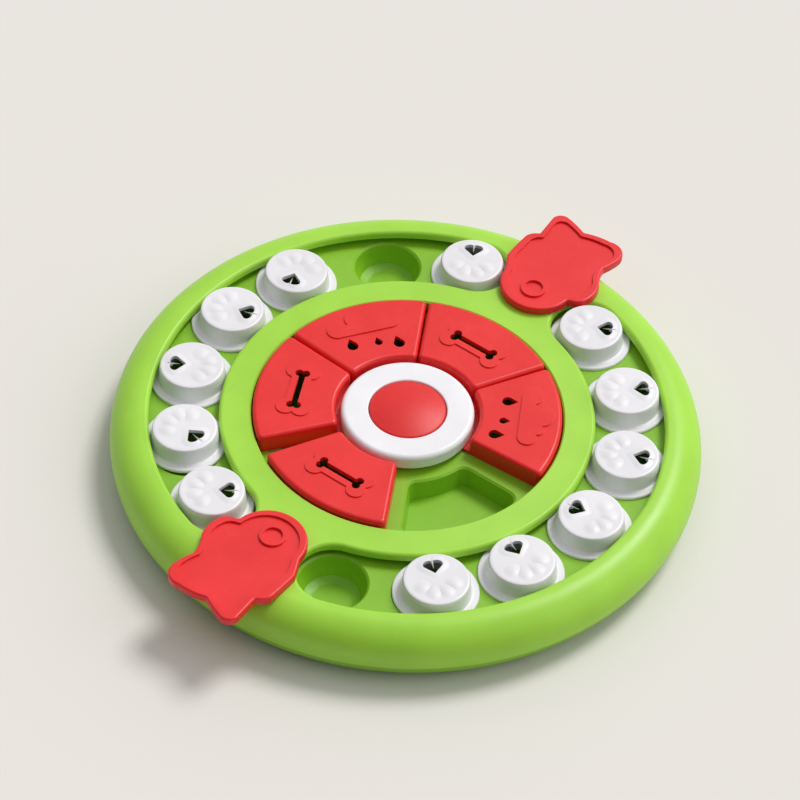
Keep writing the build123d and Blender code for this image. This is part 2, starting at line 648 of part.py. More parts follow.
def hub_cap():
    """The cap that holds the lids down and guides the button."""
    under_top = CAP_TOP_LEVEL - WALL
    cap = turned(
        band(CAP_HOLE_RADIUS, CAP_RADIUS, under_top, CAP_TOP_LEVEL)
        + band(CAP_RADIUS - WALL, CAP_RADIUS, FLANGE_TOP + CAP_LIFT, CAP_TOP_LEVEL)
        + band(CAP_HOLE_RADIUS, CAP_HOLE_RADIUS + WALL, CAP_TOP_LEVEL - CAP_GUIDE_DROP, CAP_TOP_LEVEL)
    )
    cap = fillet(level_edges(cap, CAP_TOP_LEVEL).sort_by(SortBy.LENGTH)[-1], CAP_EDGE)
    cap = fillet(level_edges(cap, CAP_TOP_LEVEL).sort_by(SortBy.LENGTH)[0], CAP_HOLE_EDGE)
    bore_top = CHAMBER_FLOOR + CAP_SCREW_LENGTH
    for angle in around(CAP_SCREW_COUNT, FIRST_POCKET_ANGLE):
        place = polar(CAP_SCREW_PLACE, angle)
        cap += place * disc(CAP_BOSS_RADIUS, CHAMBER_FLOOR, CAP_TOP_LEVEL - WALL / 2)
        cap -= place * disc(SCREW_RADIUS + THREAD_ALLOWANCE, CHAMBER_FLOOR, bore_top)
    return cap


def squeaker_button():
    """The domed button, with a flange below that the cap holds back."""
    edge_middle = (BUTTON_RADIUS - BUTTON_EDGE, BUTTON_SHOULDER_LEVEL - BUTTON_EDGE)
    dome_end = (edge_middle[0], BUTTON_SHOULDER_LEVEL)
    dome_middle = (dome_end[0] / 2, BUTTON_TOP_LEVEL - BUTTON_DOME / 4)
    bore = BUTTON_RADIUS - BUTTON_WALL
    section = make_face(
        [
            ThreePointArc((0, BUTTON_TOP_LEVEL), dome_middle, dome_end),
            CenterArc(edge_middle, BUTTON_EDGE, 90, -90),
            Polyline(
                (BUTTON_RADIUS, edge_middle[1]),
                (BUTTON_RADIUS, BUTTON_FLANGE_TOP),
                (BUTTON_RADIUS + BUTTON_FLANGE, BUTTON_FLANGE_TOP),
                (BUTTON_RADIUS + BUTTON_FLANGE, BUTTON_FLANGE_LOW),
                (bore, BUTTON_FLANGE_LOW),
                (bore, BUTTON_CEILING),
                (BUTTON_STUD_RADIUS, BUTTON_CEILING),
                (BUTTON_STUD_RADIUS, BULB_TOP_LEVEL),
                (0, BULB_TOP_LEVEL),
                (0, BUTTON_TOP_LEVEL),
            ),
        ]
    )
    return turned(section)


def bulb_section(shrink):
    """The bulb's folded side and crown down to its foot, moved in by one wall if asked."""
    low = CHAMBER_FLOOR + shrink
    high = BULB_TOP_LEVEL - shrink
    fold = (BULB_TOP_LEVEL - CHAMBER_FLOOR) / (2 * BULB_FOLD_COUNT + 2)
    side = [(0, low), (BULB_RADIUS - shrink, low)]
    for i in range(BULB_FOLD_COUNT):
        level = CHAMBER_FLOOR + fold * (2 * i + 1)
        side.append((BULB_RADIUS - shrink, level))
        side.append((BULB_WAIST - shrink, level + fold))
    crown = BULB_TOP_LEVEL - fold
    side += [(BULB_RADIUS - shrink, crown), (BUTTON_STUD_RADIUS, high), (0, high), (0, low)]
    return make_face(Polyline(*side))


def squeaker_bulb():
    """The soft folded bulb under the button, hollow, with a hole for the reed."""
    bulb = turned(bulb_section(0) - bulb_section(BULB_WALL))
    return bulb - disc(REED_RADIUS + THREAD_ALLOWANCE, CHAMBER_FLOOR - WALL, CHAMBER_FLOOR + BULB_FOOT)


def squeaker_reed():
    """The reed that whistles, plugged through the chamber's floor into the bulb."""
    collar_low = CHAMBER_FLOOR + BULB_WALL
    collar_top = collar_low + REED_COLLAR
    stem_low = CHAMBER_FLOOR - WALL - REED_STEM_DROP
    plug = disc(REED_RADIUS, stem_low, collar_top) + disc(REED_COLLAR_RADIUS, collar_low, collar_top)
    return plug - disc(REED_HOLE_RADIUS, stem_low, collar_top)


# Fish lids


def fish_outline(inset):
    """The fish seen from above, shrunk to its middle by an inset."""
    corners = [corner for corner, via in FISH_BENDS]
    ends = corners[1:] + corners[:1]
    bends = [ThreePointArc(*shrunk((start, via, end), inset)) for (start, via), end in zip(FISH_BENDS, ends)]
    outline = make_face(bends)
    return fillet(outline.vertices(), FISH_BEND)


def shrunk(points, inset):
    """Points moved towards the fish's middle, those at its edge by the inset."""
    along = 1 - inset / FISH_HALF_LENGTH
    across = 1 - inset / FISH_HALF_WIDTH
    middle_x, middle_y = FISH_MIDDLE
    return [(middle_x + (x - middle_x) * along, middle_y + (y - middle_y) * across) for x, y in points]


def fish_lid():
    """One fish lid: a dished plate with a raised edge, an eye and the shaft it turns on."""
    body = raised(fish_outline(0), FISH_UNDERSIDE, FISH_TOP)
    body = fillet(level_edges(body, FISH_TOP), FISH_EDGE)
    dish = raised(fish_outline(FISH_MARGIN), FISH_TOP - FISH_DISH, FISH_TOP + WALL)
    eye = band(0, EYE_RING_RADIUS, RIM_TOP, FISH_TOP)
    shaft = band(0, FISH_SHAFT_RADIUS, SHAFT_END, RIM_TOP)
    socket = band(0, EYE_RADIUS, FISH_TOP - EYE_DEPTH, FISH_TOP + WALL)
    bore_top = SHAFT_END + FISH_SCREW_LENGTH - WASHER_THICKNESS
    bore = band(0, SCREW_RADIUS + THREAD_ALLOWANCE, SHAFT_END - WALL, bore_top)
    return (body - dish + turned(eye + shaft)) - turned(socket) - turned(bore)


def washer():
    """The washer under a bridge that keeps a fish lid's shaft in its bore."""
    low = SHAFT_END - WASHER_THICKNESS
    return disc(WASHER_RADIUS, low, SHAFT_END) - disc(SCREW_RADIUS + SCREW_CLEARANCE, low, SHAFT_END)


# Fasteners and pads


def screw(seat, length):
    """An upright screw with its head below the seat."""
    return disc(SCREW_HEAD_RADIUS, seat - SCREW_HEAD, seat) + disc(SCREW_RADIUS, seat, seat + length)


def save(name, solid):
    """One file for one node."""
    export_step(solid, f"parts/{name}.step")


def ring_of(solid, radius, angles):
    """Copies of a piece at one distance from the axis, as one group."""
    return Compound(children=[polar(radius, angle) * solid for angle in angles])


def save_tray():
    """The tray's nodes: its trough, its hub, and a tile for each bowl and pocket."""
    save("base_tray", base_tray())
    save("tray_hub", tray_hub())
    for side, middle in CHANNELS.items():
        places = places_from(middle)
        joints = [place + PLACE_PITCH / 2 for place in places[:-1]]
        firsts = [middle - 90, *joints]
        lasts = [*joints, middle + 90]
        for number, (place, first, last) in enumerate(zip(places, firsts, lasts), 1):
            save(f"treat_bowl_{side}_{number}", treat_bowl(place, first, last))
    pocket = treat_pocket()
    for number, angle in enumerate(around(LID_COUNT, FIRST_POCKET_ANGLE), 1):
        save(f"treat_pocket_{number}", Rot(0, 0, angle) * pocket)


def save_cover():
    """The cover's sectors, each with a case screw or a fish's bridge in its middle."""
    cover = top_cover()
    for number, angle in enumerate(around(LID_COUNT, FIRST_POCKET_ANGLE), 1):
        save(f"top_cover_{number}", cover_sector(cover, angle))


def save_movers():
    """The cups, the sector lids and the fish lids with their washers and screws."""
    cup = slider_cup()
    for side, places in CUPS.items():
        for number, (angle, heading) in enumerate(places, 1):
            save(f"slider_cup_{side}_{number}", polar(CHANNEL_RADIUS, angle) * Rot(0, 0, heading) * cup)
    for kind, lid, angles in (("bone", bone_lid(), BONE_LIDS), ("cloud", cloud_lid(), CLOUD_LIDS)):
        for number, angle in enumerate(angles, 1):
            save(f"{kind}_lid_{number}", Rot(0, 0, angle) * lid)
    fish = fish_lid()
    for name, angle, heading in FISH_PLACES:
        place = polar(FISH_PIVOT_RADIUS, angle)
        save(f"fish_lid_{name}", place * Rot(0, 0, heading) * fish)
        save(f"fish_washer_{name}", place * washer())
        save(f"fish_screw_{name}", place * screw(SHAFT_END - WASHER_THICKNESS, FISH_SCREW_LENGTH))


def save_fasteners():
    """The screws that hold the case and the cap, and the pads under the tray."""
    case_screw = screw(CASE_SCREW_SEAT, CASE_SCREW_LENGTH)
    cap_screw = screw(CHAMBER_FLOOR - WALL, CAP_SCREW_LENGTH)
    pad = disc(PAD_RADIUS, 0, BASE_LEVEL + PAD_RECESS)
    save("case_screws", ring_of(case_screw, CASE_SCREW_PLACE, around(CASE_SCREW_COUNT, FIRST_POCKET_ANGLE)))
    save("cap_screws", ring_of(cap_screw, CAP_SCREW_PLACE, around(CAP_SCREW_COUNT, FIRST_POCKET_ANGLE)))
    save("foot_pads", ring_of(pad, pad_place(), around(PAD_COUNT)))


def main():
    os.makedirs("parts", exist_ok=True)
    save_tray()
    save_cover()
    save("hub_cap", hub_cap())
    save("squeaker_button", squeaker_button())
    save("squeaker_bulb", squeaker_bulb())
    save("squeaker_reed", squeaker_reed())
    save_movers()
    save_fasteners()


main()
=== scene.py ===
import json
from math import atan2, cos, hypot, pi, radians, sin
import bmesh
import bpy
from mathutils import Matrix, Vector


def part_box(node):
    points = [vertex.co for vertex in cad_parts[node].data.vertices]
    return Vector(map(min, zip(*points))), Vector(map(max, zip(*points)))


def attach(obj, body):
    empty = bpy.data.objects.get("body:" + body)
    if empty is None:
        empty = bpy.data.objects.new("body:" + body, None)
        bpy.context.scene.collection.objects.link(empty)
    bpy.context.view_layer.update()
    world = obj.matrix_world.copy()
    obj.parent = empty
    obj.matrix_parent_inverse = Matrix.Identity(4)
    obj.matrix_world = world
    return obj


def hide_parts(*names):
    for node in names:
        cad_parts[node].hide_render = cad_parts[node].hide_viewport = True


bl_info = {
    "name": "Puzzle feeder finish",
    "version": (1, 0, 0),
    "blender": (4, 5, 0),
    "location": "3D View > Sidebar > Feeder",
    "description": "Moulded finishes, paw relief and a plain studio for a round treat puzzle",
    "category": "Object",
}

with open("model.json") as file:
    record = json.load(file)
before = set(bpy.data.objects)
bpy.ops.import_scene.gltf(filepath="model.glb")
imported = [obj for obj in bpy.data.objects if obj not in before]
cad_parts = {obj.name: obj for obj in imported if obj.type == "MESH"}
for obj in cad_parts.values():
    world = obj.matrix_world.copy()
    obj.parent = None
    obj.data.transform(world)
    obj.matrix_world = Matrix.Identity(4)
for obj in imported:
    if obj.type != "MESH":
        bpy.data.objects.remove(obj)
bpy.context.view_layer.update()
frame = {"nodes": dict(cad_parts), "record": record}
MM = 0.001
TOP = Vector((0, 0, 1))
MERGE_DISTANCE = 0.002 * MM
FLAT_ANGLE = radians(0.4)
SMOOTH_ANGLE = radians(31)
PAW_SMOOTH_ANGLE = radians(60)
BULB_SMOOTH_ANGLE = radians(75)
BEVEL_ANGLE = radians(33)  # edges that turn by more than this are rounded
BEVEL_SEGMENTS = 2
JOINT_SLACK = 0.005 * MM  # how near to a plane through the axis a joint face lies
UPRIGHT_SLACK = 0.001
BULB_EDGE = 0.4 * MM
SCREW_EDGE = 0.3 * MM
SMALL_EDGE = 0.2 * MM  # rounding of the washers and the reed

HEART_REACH = 14 * MM  # the heart lies within this distance of its cup's axis
HEART_WIDENING = 1.17
NOTCH_HALF_WIDTH = 3.2 * MM
NOTCH_LIFT = 0.8 * MM  # how far the tip of a heart's notch is drawn back towards the lobes
TOE_TURNS = (radians(-63), radians(-21), radians(21), radians(63))
PAD_STEPS = 7
PAD_SIDES = 28
PAD_MERGE = 0.001  # in shares of a pad, which is made at size 1 and then scaled
PAD_TUCK = 0.15 * MM  # how far the foot of a pad's inner wall stands back from the hole
PAD_SINK = 0.03  # how far below the cup's top a pad's edge lies, as a share of its rise

CUPS = tuple(f"slider_cup_{side}_{number}" for side in ("left", "right") for number in range(1, 7))
LIDS = ("bone_lid_1", "bone_lid_2", "bone_lid_3", "cloud_lid_1", "cloud_lid_2")
FISH = ("a", "b")
SCREWS = ("case_screws", "cap_screws", "fish_screw_a", "fish_screw_b")


class FeederColours(bpy.types.PropertyGroup):
    """The colours of the moulded pieces."""

    cover: bpy.props.FloatVectorProperty(
        name="Cover", description="Lime green of the cover", subtype="COLOR", size=3,
        min=0, max=1, default=(0.362, 0.705, 0.048),
    )
    tray: bpy.props.FloatVectorProperty(
        name="Tray", description="Lime green of the tray", subtype="COLOR", size=3,
        min=0, max=1, default=(0.240, 0.512, 0.015),
    )
    lids: bpy.props.FloatVectorProperty(
        name="Lids", description="Red of the sector lids and the button", subtype="COLOR", size=3,
        min=0, max=1, default=(0.815, 0.013, 0.013),
    )
    fish: bpy.props.FloatVectorProperty(
        name="Fish", description="Red of the fish lids", subtype="COLOR", size=3,
        min=0, max=1, default=(0.830, 0.015, 0.018),
    )
    white: bpy.props.FloatVectorProperty(
        name="White", description="White of the cups and the hub cap", subtype="COLOR", size=3,
        min=0, max=1, default=(0.810, 0.800, 0.835),
    )


class FeederSizes(bpy.types.PropertyGroup):
    """The soft edges and the raised paw pads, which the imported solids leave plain."""

    cover_edge: bpy.props.FloatProperty(
        name="Cover edge", description="Rounding of the cover's crisp edges", subtype="DISTANCE",
        unit="LENGTH", min=0, default=0.0005,
    )
    lid_edge: bpy.props.FloatProperty(
        name="Lid edge", description="Rounding of the badges, slits and lid feet", subtype="DISTANCE",
        unit="LENGTH", min=0, default=0.0004,
    )
    cup_edge: bpy.props.FloatProperty(
        name="Cup edge", description="Rounding of the cups' crisp edges", subtype="DISTANCE",
        unit="LENGTH", min=0, default=0.0004,
    )
    pad_edge: bpy.props.FloatProperty(
        name="Pad edge", description="Rounding of the rubber pads' edges", subtype="DISTANCE",
        unit="LENGTH", min=0, default=0.0003,
    )
    toe_length: bpy.props.FloatProperty(
        name="Toe length", description="Length of a toe pad on a cup", subtype="DISTANCE",
        unit="LENGTH", min=0, default=0.0118,
    )
    toe_width: bpy.props.FloatProperty(
        name="Toe width", description="Width of a toe pad on a cup", subtype="DISTANCE",
        unit="LENGTH", min=0, default=0.0104,
    )
    toe_rise: bpy.props.FloatProperty(
        name="Toe rise", description="How far a toe pad stands above the cup's top", subtype="DISTANCE",
        unit="LENGTH", min=0, default=0.00060,
    )
    toe_reach: bpy.props.FloatProperty(
        name="Toe reach", description="Distance of the toe pads from the cup's middle", subtype="DISTANCE",
        unit="LENGTH", min=0, default=0.0100,
    )
    palm_width: bpy.props.FloatProperty(
        name="Palm width", description="Width of the low pad round a cup's heart", subtype="DISTANCE",
        unit="LENGTH", min=0, default=0.0042,
    )
    palm_rise: bpy.props.FloatProperty(
        name="Palm rise", description="How far that pad stands above the cup's top", subtype="DISTANCE",
        unit="LENGTH", min=0, default=0.00050,
    )


class FeederStudio(bpy.types.PropertyGroup):
    """The light and the floor."""

    key: bpy.props.FloatProperty(
        name="Key light", description="Strength of the light from behind on the right",
        min=0, default=1.82,
    )
    key_turn: bpy.props.FloatProperty(
        name="Key turn", description="Turn of the key light from the camera's right to behind",
        subtype="ANGLE", unit="ROTATION", default=radians(48),
    )
    key_height: bpy.props.FloatProperty(
        name="Key height", description="Angle of the key light above the floor", subtype="ANGLE",
        unit="ROTATION", default=radians(54),
    )
    side: bpy.props.FloatProperty(
        name="Side light", description="Strength of the broad light from the right", min=0, default=0.46,
    )
    front: bpy.props.FloatProperty(
        name="Front light", description="Brightness of the studio in front", min=0, default=0.07,
    )
    back: bpy.props.FloatProperty(
        name="Back light", description="Brightness of the studio behind", min=0, default=0.72,
    )
    floor: bpy.props.FloatVectorProperty(
        name="Floor", description="Colour of the floor", subtype="COLOR", size=3,
        min=0, max=1, default=(0.80, 0.775, 0.735),
    )


# Material parts

FINE_GRAIN = 1400.0  # scale of the mould texture
PEBBLED_GRAIN = 2600.0  # scale of the rubber's skin
SLOW_SCALE = 38.0
SLOW_SHARE = 3.0  # height of the slow unevenness against the fine grain
PATCH_RANGE = (0.35, 0.65)
SPECKLE_SCALE = 260.0
SPECKLE_RANGE = (0.56, 0.74)
STREAK_SHAPE = (1.0, 0.07, 0.4)  # a small share draws the streaks out that way
STREAK_TURN = radians(28)
STREAK_SCALE = 900.0
STREAK_RANGE = (0.58, 0.72)
STREAK_PLACES_SCALE = 22.0
STREAK_PLACES_RANGE = (0.42, 0.62)
LINE_SHAPE = (1.0, 0.05, 1.0)
LINE_SCALE = 5200.0
STAIN_SCALE = 240.0
STAIN_RANGE = (0.4, 0.7)
PATCH_SHADES = (0.965, 1.03)  # of a moulding's own colour
DUST_SHARE = 0.03
DUSTY_SHARE = 0.5  # how much of its own colour a dusty moulding keeps
DUSTY_PALE = 0.42
POLISH = -0.09  # what rubbing takes off a moulding's roughness
MOULDED_SWING = (-0.03, 0.04)  # of the roughness over a moulding
MOULDED_RELIEF = 0.16
MOULDED_DEPTH = 0.12 * MM
PLASTIC_IOR = 1.49
GLOW_RADIUS = (4 * MM, 4 * MM, 4 * MM)  # how far light spreads under the skin of a moulding
GLOW_SCALE = 0.5
STAINED_SHADE = 0.78
STAINED_SWING = 0.14
METAL_RELIEF = 0.25
METAL_DEPTH = 0.05 * MM
RUBBER_SHADES = (0.9, 1.08)
RUBBER_DUST_SHARE = 0.2
RUBBER_SWING = (-0.05, 0.06)
RUBBER_RELIEF = 0.5
RUBBER_DEPTH = 0.2 * MM
STEEL = (0.62, 0.62, 0.64)
BRIGHT_STEEL = (0.68, 0.68, 0.70)
BLACK_RUBBER = (0.045, 0.047, 0.045)
GREY_RUBBER = (0.62, 0.60, 0.54)
DUST = (0.5, 0.49, 0.46)
MIX_COLOURS = (6, 7)  # places of the two colour sockets of a Mix node
MIX_RESULT = 2


def node_group(name, inputs, outputs):
    """An empty shader group with the named sockets, and its two end nodes."""
    group = bpy.data.node_groups.new(name, "ShaderNodeTree")
    for label, kind, default in inputs:
        socket = group.interface.new_socket(label, in_out="INPUT", socket_type=kind)
        if default is not None:
            socket.default_value = default
    for label, kind in outputs:
        group.interface.new_socket(label, in_out="OUTPUT", socket_type=kind)
    start = group.nodes.new("NodeGroupInput")
    end = group.nodes.new("NodeGroupOutput")
    return group, start, end


def join(tree, source, target):
    """One link, from an output socket to an input socket."""
    tree.links.new(source, target)


def noise(tree, vector, scale, detail=2.0, roughness=0.5):
    """A noise texture over the piece's own coordinates."""
    texture = tree.nodes.new("ShaderNodeTexNoise")
    texture.inputs["Scale"].default_value = scale
    texture.inputs["Detail"].default_value = detail
    texture.inputs["Roughness"].default_value = roughness
    join(tree, vector, texture.inputs["Vector"])
    return texture.outputs["Fac"]


def spread(tree, value, low, high, to_low=0.0, to_high=1.0):
    """A value stretched from one range to another."""
    stretch = tree.nodes.new("ShaderNodeMapRange")
    stretch.inputs["From Min"].default_value = low
    stretch.inputs["From Max"].default_value = high
    stretch.inputs["To Min"].default_value = to_low
    stretch.inputs["To Max"].default_value = to_high
    join(tree, value, stretch.inputs["Value"])
    return stretch.outputs["Result"]


def arithmetic(tree, operation, first, second):
    """Two values, or a value and a number, put together."""
    maths = tree.nodes.new("ShaderNodeMath")
    maths.operation = operation
    join(tree, first, maths.inputs[0])
    if isinstance(second, (int, float)):
        maths.inputs[1].default_value = second
    else:
        join(tree, second, maths.inputs[1])
    return maths.outputs[0]


def mixed(tree, mask, first, second):
    """Two colours mixed by a mask; each is a colour or a socket."""
    mix = tree.nodes.new("ShaderNodeMix")
    mix.data_type = "RGBA"
    join(tree, mask, mix.inputs["Factor"])
    for colour, place in zip((first, second), MIX_COLOURS):
        if isinstance(colour, bpy.types.NodeSocket):
            join(tree, colour, mix.inputs[place])
        else:
            mix.inputs[place].default_value = (*colour, 1)
    return mix.outputs[MIX_RESULT]


def grain_group():
    """Fine mould texture and slow unevenness, as a height and two masks."""
    inputs = [("Vector", "NodeSocketVector", None), ("Grain Scale", "NodeSocketFloat", FINE_GRAIN)]
    outputs = [(label, "NodeSocketFloat") for label in ("Height", "Patches", "Speckle")]
    group, start, end = node_group("Moulded grain", inputs, outputs)
    texture = group.nodes.new("ShaderNodeTexNoise")
    texture.inputs["Detail"].default_value = 1.0
    join(group, start.outputs["Vector"], texture.inputs["Vector"])
    join(group, start.outputs["Grain Scale"], texture.inputs["Scale"])
    slow = noise(group, start.outputs["Vector"], SLOW_SCALE, detail=3.0)
    speckle = noise(group, start.outputs["Vector"], SPECKLE_SCALE, detail=4.0, roughness=0.6)
    swell = arithmetic(group, "MULTIPLY", slow, SLOW_SHARE)
    join(group, arithmetic(group, "ADD", texture.outputs["Fac"], swell), end.inputs["Height"])
    join(group, spread(group, slow, *PATCH_RANGE), end.inputs["Patches"])
    join(group, spread(group, speckle, *SPECKLE_RANGE), end.inputs["Speckle"])
    return group


def marks_group():
    """Faint rubbed streaks where paws and noses slide, as a mask."""
    inputs = [("Vector", "NodeSocketVector", None)]
    group, start, end = node_group("Rubbed marks", inputs, [("Mask", "NodeSocketFloat")])
    stretched = group.nodes.new("ShaderNodeMapping")
    stretched.inputs["Scale"].default_value = STREAK_SHAPE
    stretched.inputs["Rotation"].default_value = (0, 0, STREAK_TURN)
    join(group, start.outputs["Vector"], stretched.inputs["Vector"])
    streaks = noise(group, stretched.outputs["Vector"], STREAK_SCALE, detail=3.0, roughness=0.7)
    places = noise(group, start.outputs["Vector"], STREAK_PLACES_SCALE)
    rubbed = spread(group, streaks, *STREAK_RANGE)
    exposed = spread(group, places, *STREAK_PLACES_RANGE)
    join(group, arithmetic(group, "MULTIPLY", rubbed, exposed), end.inputs["Mask"])
    return group


def brushed_group():
    """Fine turned lines on metal, as a height and a mask."""
    inputs = [("Vector", "NodeSocketVector", None)]
    outputs = [("Height", "NodeSocketFloat"), ("Mask", "NodeSocketFloat")]
    group, start, end = node_group("Brushed metal", inputs, outputs)
    stretched = group.nodes.new("ShaderNodeMapping")
    stretched.inputs["Scale"].default_value = LINE_SHAPE
    join(group, start.outputs["Vector"], stretched.inputs["Vector"])
    lines = noise(group, stretched.outputs["Vector"], LINE_SCALE, detail=3.0, roughness=0.6)
    stains = noise(group, start.outputs["Vector"], STAIN_SCALE)
    join(group, lines, end.inputs["Height"])
    join(group, spread(group, stains, *STAIN_RANGE), end.inputs["Mask"])
    return group


def use(tree, group, vector):
    """A group placed in a material and fed with the piece's own coordinates."""
    node = tree.nodes.new("ShaderNodeGroup")
    node.node_tree = group
    join(tree, vector, node.inputs["Vector"])
    return node


def blank_material(name):
    """A material with its principled shader and the piece's own coordinates."""
    material = bpy.data.materials.new(name)
    material.use_nodes = True
    tree = material.node_tree
    shader = tree.nodes["Principled BSDF"]
    coordinates = tree.nodes.new("ShaderNodeTexCoord").outputs["Object"]
    return material, tree, shader, coordinates


def varied(tree, mask, colour, low, high):
    """A colour that goes from a darker to a lighter shade with a mask."""
    return mixed(tree, mask, shade(colour, low), shade(colour, high))


def bump(tree, shader, height, strength, distance):
    """A height joined to the shader's normal."""
    node = tree.nodes.new("ShaderNodeBump")
    node.inputs["Strength"].default_value = strength
    node.inputs["Distance"].default_value = distance
    join(tree, height, node.inputs["Height"])
    join(tree, node.outputs["Normal"], shader.inputs["Normal"])


def shade(colour, factor):
    """A colour made darker or lighter."""
    return tuple(min(1.0, part * factor) for part in colour)


def moulded(name, colour, roughness, glow):
    """Satin moulded plastic: fine grain, slow unevenness, rubbed streaks and faint dust."""
    material, tree, shader, coordinates = blank_material(name)
    body = use(tree, bpy.data.node_groups["Moulded grain"], coordinates)
    body.inputs["Grain Scale"].default_value = FINE_GRAIN
    marks = use(tree, bpy.data.node_groups["Rubbed marks"], coordinates)
    tint = varied(tree, body.outputs["Patches"], colour, *PATCH_SHADES)
    dusty = arithmetic(tree, "MULTIPLY", body.outputs["Speckle"], DUST_SHARE)
    pale = tuple(DUSTY_SHARE * part + DUSTY_PALE for part in colour)
    join(tree, mixed(tree, dusty, tint, pale), shader.inputs["Base Color"])
    polish = arithmetic(tree, "MULTIPLY", marks.outputs["Mask"], POLISH)
    smoothest, roughest = (roughness + swing for swing in MOULDED_SWING)
    uneven = spread(tree, body.outputs["Patches"], 0, 1, smoothest, roughest)
    join(tree, arithmetic(tree, "ADD", uneven, polish), shader.inputs["Roughness"])
    shader.inputs["IOR"].default_value = PLASTIC_IOR
    shader.inputs["Subsurface Weight"].default_value = glow
    shader.inputs["Subsurface Radius"].default_value = GLOW_RADIUS
    shader.inputs["Subsurface Scale"].default_value = GLOW_SCALE
    bump(tree, shader, body.outputs["Height"], MOULDED_RELIEF, MOULDED_DEPTH)
    return material


def metal(name, colour, roughness):
    """Plated steel with fine lines and faint stains."""
    material, tree, shader, coordinates = blank_material(name)
    brushed = use(tree, bpy.data.node_groups["Brushed metal"], coordinates)
    tint = mixed(tree, brushed.outputs["Mask"], colour, shade(colour, STAINED_SHADE))
    join(tree, tint, shader.inputs["Base Color"])
    dulled = spread(tree, brushed.outputs["Mask"], 0, 1, roughness, roughness + STAINED_SWING)
    join(tree, dulled, shader.inputs["Roughness"])
    shader.inputs["Metallic"].default_value = 1.0
    bump(tree, shader, brushed.outputs["Height"], METAL_RELIEF, METAL_DEPTH)
    return material


def rubber(name, colour, roughness, glow):
    """Soft rubber with a pebbled skin."""
    material, tree, shader, coordinates = blank_material(name)
    body = use(tree, bpy.data.node_groups["Moulded grain"], coordinates)
    body.inputs["Grain Scale"].default_value = PEBBLED_GRAIN
    tint = varied(tree, body.outputs["Patches"], colour, *RUBBER_SHADES)
    dusty = arithmetic(tree, "MULTIPLY", body.outputs["Speckle"], RUBBER_DUST_SHARE)
    join(tree, mixed(tree, dusty, tint, DUST), shader.inputs["Base Color"])
    smoothest, roughest = (roughness + swing for swing in RUBBER_SWING)
    uneven = spread(tree, body.outputs["Patches"], 0, 1, smoothest, roughest)
    join(tree, uneven, shader.inputs["Roughness"])
    shader.inputs["Subsurface Weight"].default_value = glow
    bump(tree, shader, body.outputs["Height"], RUBBER_RELIEF, RUBBER_DEPTH)
    return material


def finish(slot):
    """The finish of a slot of the record, made on first use."""
    name = f"{slot}_finish"
    made = bpy.data.materials.get(name)
    if made:
        return made
    colours = bpy.context.scene.feeder_colours
    plastics = {  # colour, roughness and glow under the skin
        "cover_green": (colours.cover, 0.40, 0.04),
        "tray_green": (colours.tray, 0.42, 0.04),
        "lid_red": (colours.lids, 0.36, 0.04),
        # The button takes the lids' red a little darker: painted shade, which dulls the bright spot the
        # key light puts on its dome.
        "button_red": (shade(colours.lids, 0.93), 0.43, 0.04),
        "fish_red": (colours.fish, 0.36, 0.04),
        "cup_white": (colours.white, 0.38, 0.08),
        # The hub cap takes the cups' white a tenth lighter: painted light, which makes the cap look as
        # brightly lit as the cups' tops.
        "cap_white": (shade(colours.white, 1.1), 0.34, 0.06),
        "reed_white": (shade(colours.white, 0.92), 0.45, 0.04),
    }
    metals = {"screw_steel": (STEEL, 0.30), "washer_steel": (BRIGHT_STEEL, 0.26)}
    rubbers = {"pad_rubber": (BLACK_RUBBER, 0.72, 0.0), "bulb_grey": (GREY_RUBBER, 0.55, 0.1)}
    if slot in plastics:
        return moulded(name, *plastics[slot])
    if slot in metals:
        return metal(name, *metals[slot])
    return rubber(name, *rubbers[slot])


# Pieces


def add_piece(name, mesh, body, slot):
    """A new object in the scene, riding on a body and finished as a slot of the record."""
    piece = bpy.data.objects.new(name, mesh)
    bpy.context.scene.collection.objects.link(piece)
    mesh.materials.clear()
    mesh.materials.append(finish(slot))
    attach(piece, body)
    return piece


def smooth_by_angle(form, limit):
    """Smooth faces, with a sharp edge wherever two faces turn by more than the limit."""
    for face in form.faces:
        face.smooth = True
    for edge in form.edges:
        turn = edge.calc_face_angle(0.0) if len(edge.link_faces) == 2 else 0.0
        edge.smooth = turn < limit


def soften(piece, width):
    """Rounds the crisp edges and keeps flat faces flat."""
    if width > 0:
        bevel = piece.modifiers.new("soft edges", "BEVEL")
        bevel.width = width
        bevel.segments = BEVEL_SEGMENTS
        bevel.limit_method = "ANGLE"
        bevel.angle_limit = BEVEL_ANGLE
        bevel.use_clamp_overlap = True
        bevel.miter_outer = "MITER_ARC"
        bevel.harden_normals = True
    weighted = piece.modifiers.new("flat faces", "WEIGHTED_NORMAL")
    weighted.keep_sharp = True


def tidy_form(form):
    """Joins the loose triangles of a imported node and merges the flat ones."""
    bmesh.ops.remove_doubles(form, verts=form.verts, dist=MERGE_DISTANCE)
    bmesh.ops.dissolve_limit(
        form, angle_limit=FLAT_ANGLE, verts=form.verts, edges=form.edges, delimit={"NORMAL"},
    )


def dress(node, body, slot, width, limit=SMOOTH_ANGLE):
    """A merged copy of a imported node, softened and finished, that stands for it."""
    mesh = frame["nodes"][node].data.copy()
    mesh.name = f"{node}_form"
    form = bmesh.new()
    form.from_mesh(mesh)
    tidy_form(form)
    smooth_by_angle(form, limit)
    form.to_mesh(mesh)
    form.free()
    piece = add_piece(f"{node}_form", mesh, body, slot)
    soften(piece, width)
    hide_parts(node)
    return piece


def body_of_node(node):
    """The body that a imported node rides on."""
    for body, members in frame["record"]["behaviour"]["bodies"].items():
        if node in members:
            return body
    raise ValueError(f"no body holds {node}")


def slot_of_node(node):
    """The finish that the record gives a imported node."""
    for row in frame["record"]["subparts"]:
        if row["node"] == node:
            return row["material_slot"]
    raise ValueError(f"no slot is given for {node}")


def dress_node(node, width, **more):
    """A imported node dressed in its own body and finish."""
    return dress(node, body_of_node(node), slot_of_node(node), width, **more)


